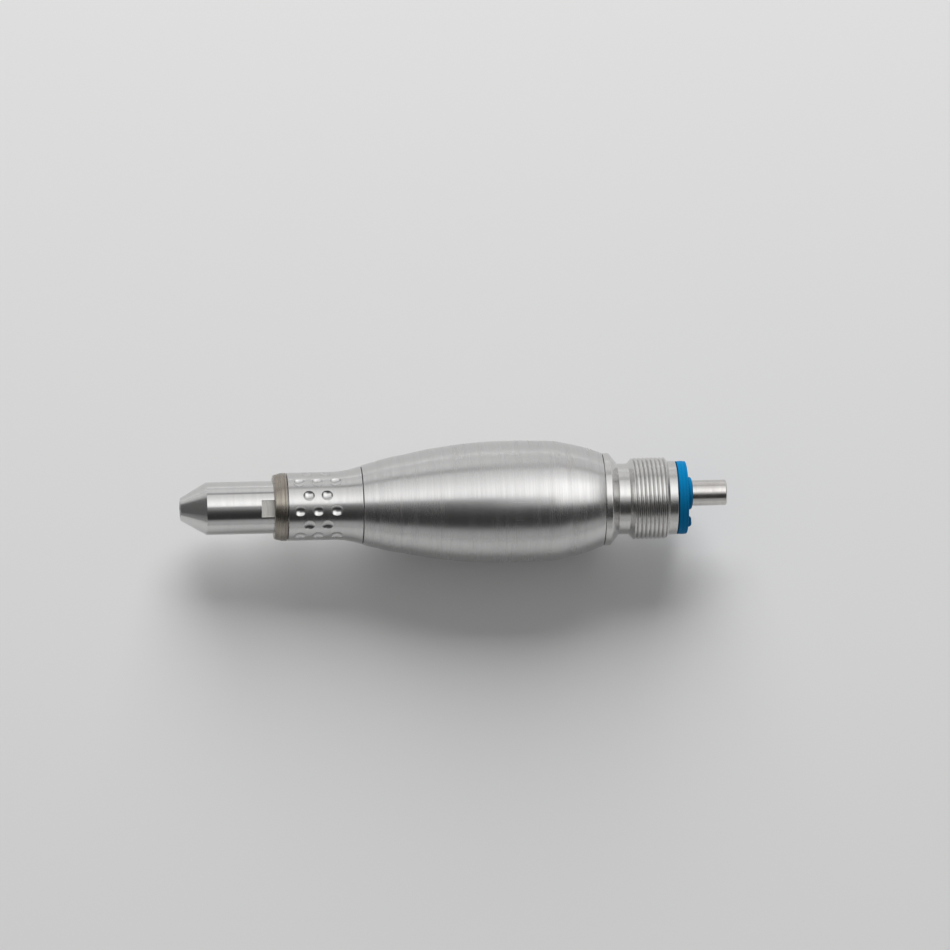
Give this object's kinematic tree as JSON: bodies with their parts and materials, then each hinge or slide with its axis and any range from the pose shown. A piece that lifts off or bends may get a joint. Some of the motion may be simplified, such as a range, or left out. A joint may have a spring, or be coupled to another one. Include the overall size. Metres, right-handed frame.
{
  "type": "prophy handpiece",
  "caption": "Air-driven dental hygiene handpiece: bulged steel barrel, dimpled finger grip on a turning nose, threaded hose end with a gasket and an exhaust tube.",
  "frame": {"origin": "centre of the hose seat, the flat rear face of the hose gasket, on the handpiece's axis", "axes": "+X along the axis from the nose to the hose; +Z to the side that the exhaust tube is on; +Y completes the right-handed frame"},
  "size_m": [0.0903, 0.0202, 0.0202],
  "materials": {
    "barrel_steel": "satin stainless steel, brushed round the axis",
    "grip_steel": "satin stainless steel, brushed round the axis",
    "ring_bronze": "warm grey satin, turned",
    "nose_steel": "polished stainless steel",
    "connector_steel": "bright turned stainless steel",
    "tube_steel": "polished stainless steel",
    "gasket_blue": "matte blue silicone",
    "seal_black": "matte black seal rubber",
    "bush_polymer": "pale bearing polymer",
    "vane_phenolic": "brown fabric-filled phenolic",
    "steel_inner": "ground steel"
  },
  "bodies": {
    "barrel": {"barrel_shell": "barrel_steel", "front_housing": "steel_inner", "swivel_bush": "bush_polymer", "front_swivel_seal": "seal_black", "rear_swivel_seal": "seal_black", "bearing_nut": "steel_inner", "bearing_circlip": "steel_inner", "spindle_front_bearing_outer_race": "steel_inner", "spindle_rear_bearing_outer_race": "steel_inner", "motor_front_bearing_outer_race": "steel_inner", "motor_rear_bearing_outer_race": "steel_inner", "ring_gear": "steel_inner", "front_end_plate": "steel_inner", "rear_end_plate": "steel_inner", "motor_cylinder": "steel_inner", "cylinder_dowels": "steel_inner", "preload_washer": "steel_inner", "manifold_seal": "seal_black", "hose_connector": "connector_steel", "connector_seal": "seal_black", "hose_gasket": "gasket_blue", "exhaust_tube": "tube_steel"},
    "nose": {"nose_sleeve": "nose_steel", "grip_ring": "ring_bronze", "finger_grip": "grip_steel", "snap_ring": "steel_inner"},
    "spindle": {"output_spindle": "steel_inner", "shank_chuck": "steel_inner", "shank_stop": "steel_inner", "carrier_plate": "steel_inner", "planet_pins": "steel_inner", "spindle_front_bearing_inner_race": "steel_inner", "spindle_rear_bearing_inner_race": "steel_inner"},
    "planet_1": {"planet_gear_1": "steel_inner"},
    "planet_2": {"planet_gear_2": "steel_inner"},
    "planet_3": {"planet_gear_3": "steel_inner"},
    "rotor": {"motor_rotor": "steel_inner", "rotor_vanes": "vane_phenolic", "sun_gear": "steel_inner", "motor_front_bearing_inner_race": "steel_inner", "motor_rear_bearing_inner_race": "steel_inner"}
  },
  "joints": [
    {"name": "nose_swivel", "type": "hinge", "parent": "barrel", "child": "nose", "pos_m": [-0.06, 0, 0], "axis": [1, 0, 0], "continuous": true},
    {"name": "rotor_spin", "type": "hinge", "parent": "barrel", "child": "rotor", "pos_m": [-0.03, 0, 0], "axis": [1, 0, 0], "continuous": true},
    {"name": "spindle_spin", "type": "hinge", "parent": "barrel", "child": "spindle", "pos_m": [-0.06, 0, 0], "axis": [1, 0, 0], "continuous": true},
    {"name": "planet_1_spin", "type": "hinge", "parent": "spindle", "child": "planet_1", "pos_m": [-0.0456, 0, 0.0036], "axis": [1, 0, 0], "continuous": true},
    {"name": "planet_2_spin", "type": "hinge", "parent": "spindle", "child": "planet_2", "pos_m": [-0.0456, -0.00312, -0.0018], "axis": [1, 0, 0], "continuous": true},
    {"name": "planet_3_spin", "type": "hinge", "parent": "spindle", "child": "planet_3", "pos_m": [-0.0456, 0.00312, -0.0018], "axis": [1, 0, 0], "continuous": true}
  ],
  "couplings": [
    {"joint": "spindle_spin", "follows": "rotor_spin", "ratio": 0.25},
    {"joint": "planet_1_spin", "follows": "rotor_spin", "ratio": -0.75},
    {"joint": "planet_2_spin", "follows": "rotor_spin", "ratio": -0.75},
    {"joint": "planet_3_spin", "follows": "rotor_spin", "ratio": -0.75}
  ]
}
